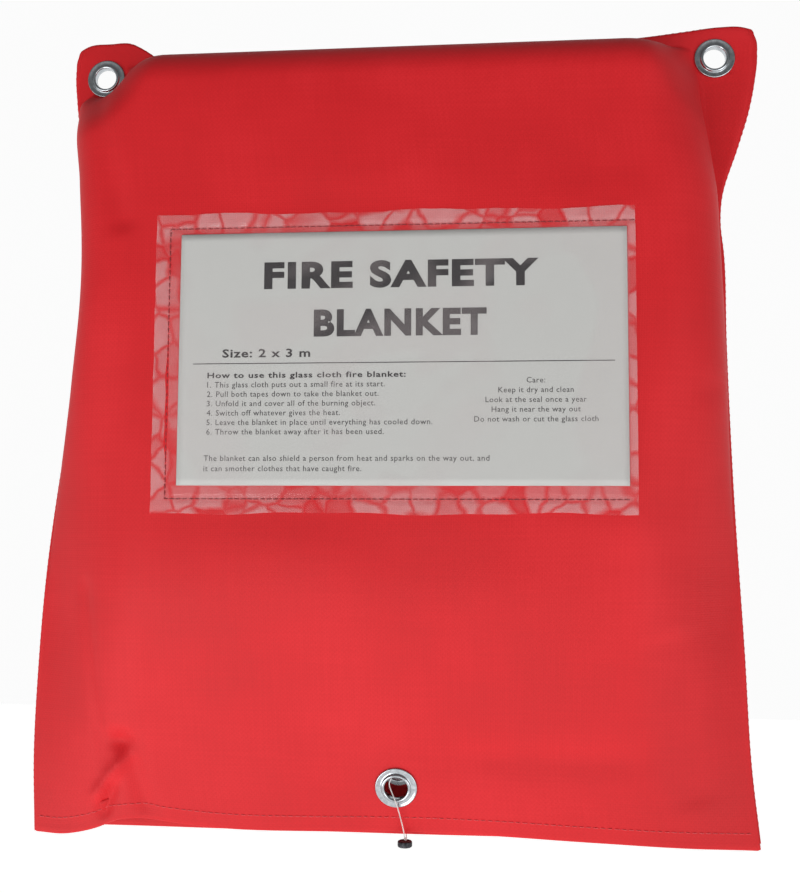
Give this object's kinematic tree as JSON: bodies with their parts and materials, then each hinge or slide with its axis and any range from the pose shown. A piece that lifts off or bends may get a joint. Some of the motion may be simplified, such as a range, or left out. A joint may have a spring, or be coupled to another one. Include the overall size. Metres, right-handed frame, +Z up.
{
  "type": "fire blanket",
  "caption": "Folded glass-cloth fire blanket in a hanging fabric case with wall eyelets, a document pocket, pull tapes and a sealed mouth at the bottom.",
  "frame": {"origin": "on the wall plane, midway between the two wall eyelets in the case's upper corners", "axes": "+Z up along the case, -Y out of its front, +X to the right as one faces it"},
  "size_m": [0.35, 0.0454, 0.4043],
  "materials": {
    "case_fabric": "PVC-coated woven polyester, satin",
    "seam_thread": "polyester sewing thread",
    "eyelet_metal": "nickel-plated brass, polished",
    "pocket_film": "clear soft PVC film",
    "card_paper": "plain printed office paper",
    "glass_cloth": "woven glass fibre, satin",
    "tape_webbing": "woven webbing",
    "tape_thread": "sewing thread",
    "nylon_thread": "clear nylon monofilament",
    "seal_lead": "dull pressed lead"
  },
  "bodies": {
    "case": {"back_panel": "case_fabric", "front_panel": "case_fabric", "top_seam_stitching": "seam_thread", "left_seam_stitching": "seam_thread", "right_seam_stitching": "seam_thread", "back_hem_stitching": "seam_thread", "pocket_film": "pocket_film", "pocket_stitching": "seam_thread", "left_wall_eyelet": "eyelet_metal", "left_wall_eyelet_washer": "eyelet_metal", "right_wall_eyelet": "eyelet_metal", "right_wall_eyelet_washer": "eyelet_metal", "back_hem_eyelet": "eyelet_metal", "back_hem_eyelet_washer": "eyelet_metal", "seal_thread_back": "nylon_thread"},
    "mouth": {"mouth_flap": "case_fabric", "front_hem_stitching": "seam_thread", "front_hem_eyelet": "eyelet_metal", "front_hem_eyelet_washer": "eyelet_metal", "seal_thread_front": "nylon_thread"},
    "blanket": {"folded_blanket": "glass_cloth", "left_pull_tape": "tape_webbing", "right_pull_tape": "tape_webbing", "left_tape_stitching": "tape_thread", "right_tape_stitching": "tape_thread"},
    "card": {"instruction_card": "card_paper"},
    "seal": {"lead_seal": "seal_lead"}
  },
  "joints": [
    {"name": "blanket_slide", "type": "slide", "parent": "case", "child": "blanket", "axis": [0, 0, -1], "range_m": [0, 0.36]},
    {"name": "mouth_hinge", "type": "hinge", "parent": "case", "child": "mouth", "pos_m": [0, -0.0428, -0.25815], "axis": [-1, 0, 0], "range_deg": [0, 45]},
    {"name": "card_slide", "type": "slide", "parent": "case", "child": "card", "axis": [1, 0, 0], "range_m": [0, 0.225]},
    {"name": "seal_swing", "type": "hinge", "parent": "mouth", "child": "seal", "pos_m": [0.0039, -0.01077, -0.384], "axis": [1, 0, 0], "range_deg": [-35, 15]}
  ],
  "couplings": [
    {"joint": "mouth_hinge", "follows": "blanket_slide", "rad_per_m": 2.1812}
  ]
}
